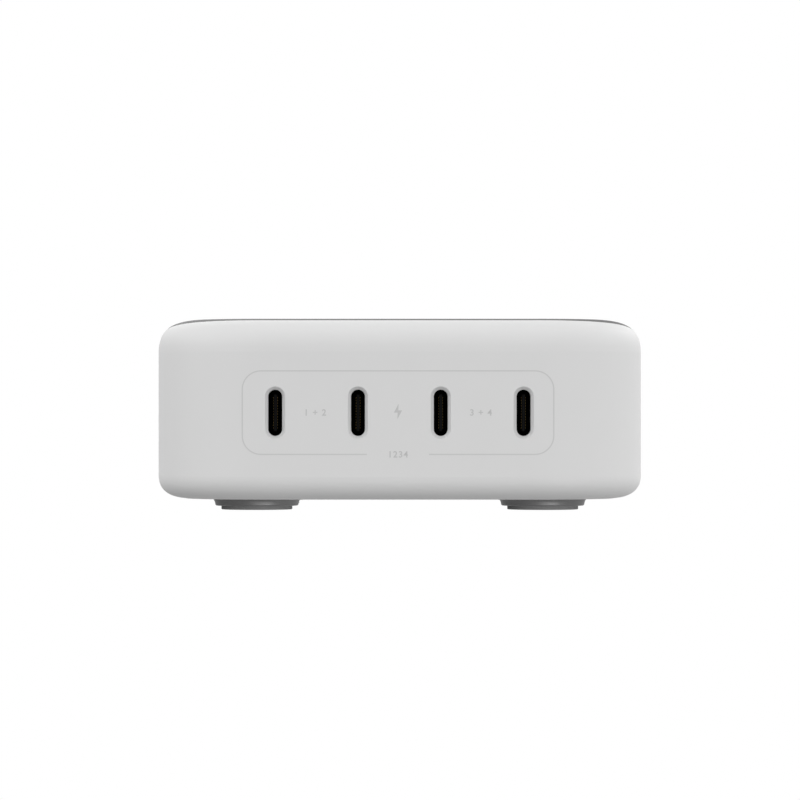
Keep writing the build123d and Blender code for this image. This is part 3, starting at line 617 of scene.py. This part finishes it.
tree.links.new(strength.outputs[0], glow.inputs["Strength"])
tree.links.new(sight.outputs["Is Camera Ray"], either.inputs["Fac"])
tree.links.new(glow.outputs[0], either.inputs[1])
tree.links.new(white.outputs[0], either.inputs[2])
tree.links.new(either.outputs[0], world_out.inputs["Surface"])
bpy.context.scene.view_settings.view_transform = "Standard"
print("room light:", ROOM_LIGHT)

# %% [markdown]
# ## Soft lamps
# The room alone lights left and right almost alike, so soft boxes shape the rest. The one on the right
# brightens that side. The front one stands to the left and fills the front face and the flanks of the ports
# that look that way. The low one stands below the floor, in front and to the right, and lifts the underside
# of the body. The left one fills that side, and two at the back draw a line of light along the edge of
# the top.

# %% Lamps
def soft_box(name, place, aim, size, watts):
    start_fresh()
    bpy.ops.object.light_add(type="AREA", location=place)
    lamp = bpy.context.object
    lamp.name = name
    lamp.data.size = size
    lamp.data.energy = watts
    lamp.rotation_euler = (Vector(aim) - Vector(place)).to_track_quat("-Z", "Y").to_euler()
    print(name, "watts:", watts)
    return lamp


middle = (cad_low + cad_high) / 2
soft_box("lamp_right", (1.25, 0.25, 0.60), middle, 1.2, 3.7)
soft_box("lamp_front", (-0.62, -1.10, 0.42), middle, 0.9, 4.1)
soft_box("lamp_low", (0.47, -0.86, -0.32), middle, 0.30, 2.5)
soft_box("lamp_left", (-1.20, -0.10, 0.60), middle, 0.9, 4.4)
soft_box("lamp_rim_left", (-0.30, 1.15, 0.60), middle, 0.4, 0.9)
soft_box("lamp_rim_right", (0.70, 1.00, 0.60), middle, 0.6, 2.5)

# %% [markdown]
# ## A lamp for the feet alone
# Under the body the feet get little of the light above. A low lamp in front shows their round form, with a
# gleam a little right of the middle, but it would be too much for the pale body. In a studio a flag would
# keep it off the body. Light linking does the same: the lamp lights only the pieces of one collection.

# %% Lamp for the feet
foot_lamp = soft_box("lamp_feet", (0.26, -0.90, -0.32), middle, 0.80, 6.0)
feet = bpy.data.collections.new("feet")
for piece in soft_cups + [node for name, node in nodes.items() if name.startswith("foot_pad")]:
    feet.objects.link(piece)
foot_lamp.light_linking.receiver_collection = feet

# %% [markdown]
# ## The camera
# The photograph was taken from almost straight ahead, level with the middle of the body and from some way
# off, so that the sides don't spread. The camera stands a touch to the right, which shifts the ports
# against the outline by half a pixel. The lens follows from one measured scale: how many pixels
# a millimetre of the front face takes in a picture 800 pixels wide.

# %% Camera
DISTANCE = 900 * MM
EYE_HEIGHT = 20.33 * MM
SIDE_STEP = 3.2 * MM
AIM_SIDE = 0.05 * MM
AIM_DEPTH = 19.5 * MM
PIXELS_PER_MM = 5.503
PICTURE_WIDTH = 800
SENSOR = 36.0
NEAREST = 0.01

start_fresh()
turn = math.atan2(SIDE_STEP - AIM_SIDE, DISTANCE + AIM_DEPTH)
eye = (SIDE_STEP, front - DISTANCE, EYE_HEIGHT)
bpy.ops.object.camera_add(location=eye, rotation=(math.radians(90), 0, turn))
camera = bpy.context.object
camera.name = "camera"
seen_width = PICTURE_WIDTH / PIXELS_PER_MM * MM
camera.data.sensor_width = SENSOR
camera.data.lens = SENSOR * DISTANCE / seen_width
camera.data.clip_start = NEAREST
bpy.context.scene.camera = camera
print("lens in mm:", round(camera.data.lens, 2))

# %% Visual size, and the end
low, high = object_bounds()
print("visual size in mm:", [round(side / MM, 2) for side in high - low])
